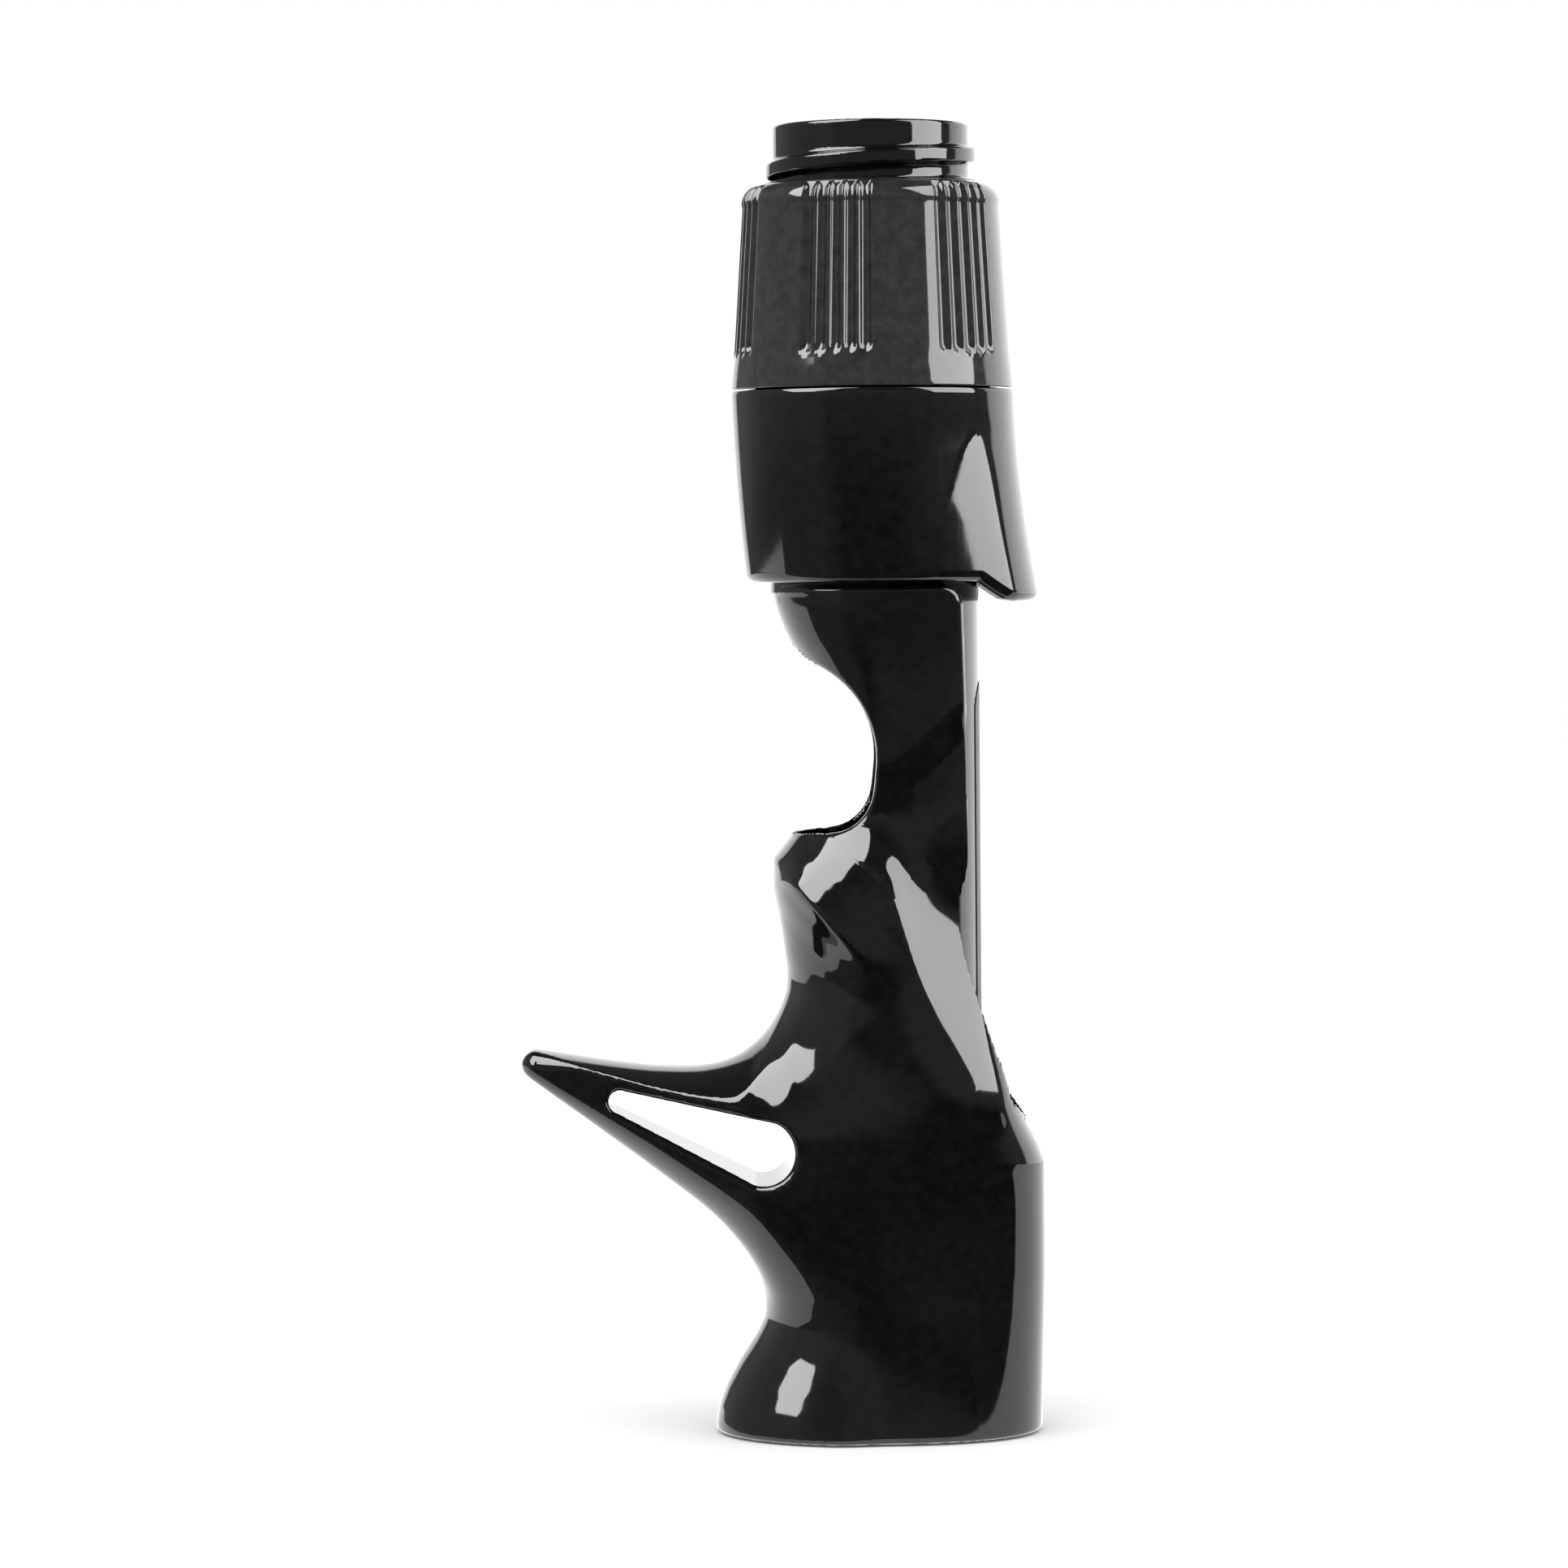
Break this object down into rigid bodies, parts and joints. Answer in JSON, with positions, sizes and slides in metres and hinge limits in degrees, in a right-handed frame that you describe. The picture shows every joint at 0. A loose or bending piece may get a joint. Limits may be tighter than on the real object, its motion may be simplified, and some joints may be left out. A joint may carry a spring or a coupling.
{
  "type": "casting trigger reel seat",
  "caption": "Moulded casting reel seat for a fishing rod, with a slotted finger trigger, a blank window, a fixed hood and a sliding hood drawn along by a fluted lock nut.",
  "frame": {"origin": "on the axis of the rod's bore, in the plane of the rear end face", "axes": "+Z along the rod towards its tip; +X to the side on which the reel sits; the trigger points to -X"},
  "size_m": [0.049, 0.0266, 0.122],
  "materials": {
    "seat_plastic": "black moulding with a soft sheen",
    "hood_plastic": "black moulding with a soft sheen",
    "nut_plastic": "black moulding, slightly greyer and duller than the hood",
    "pad_rubber": "matt black",
    "liner_plastic": "matt black",
    "ring_plastic": "plain moulded"
  },
  "bodies": {
    "seat": {"seat_body": "seat_plastic", "foot_pad": "pad_rubber", "rear_hood_liner": "liner_plastic"},
    "hood": {"sliding_hood": "hood_plastic", "front_hood_liner": "liner_plastic"},
    "nut": {"lock_nut": "nut_plastic", "snap_ring": "ring_plastic"}
  },
  "joints": [
    {"name": "hood_slide", "type": "slide", "parent": "seat", "child": "hood", "axis": [0, 0, 1], "range_m": [0, 0.01]},
    {"name": "nut_turn", "type": "hinge", "parent": "hood", "child": "nut", "pos_m": [0, 0, 0.107], "axis": [0, 0, 1], "range_deg": [0, 1241]}
  ],
  "couplings": [
    {"joint": "hood_slide", "follows": "nut_turn", "m_per_rad": 0.00046155}
  ]
}
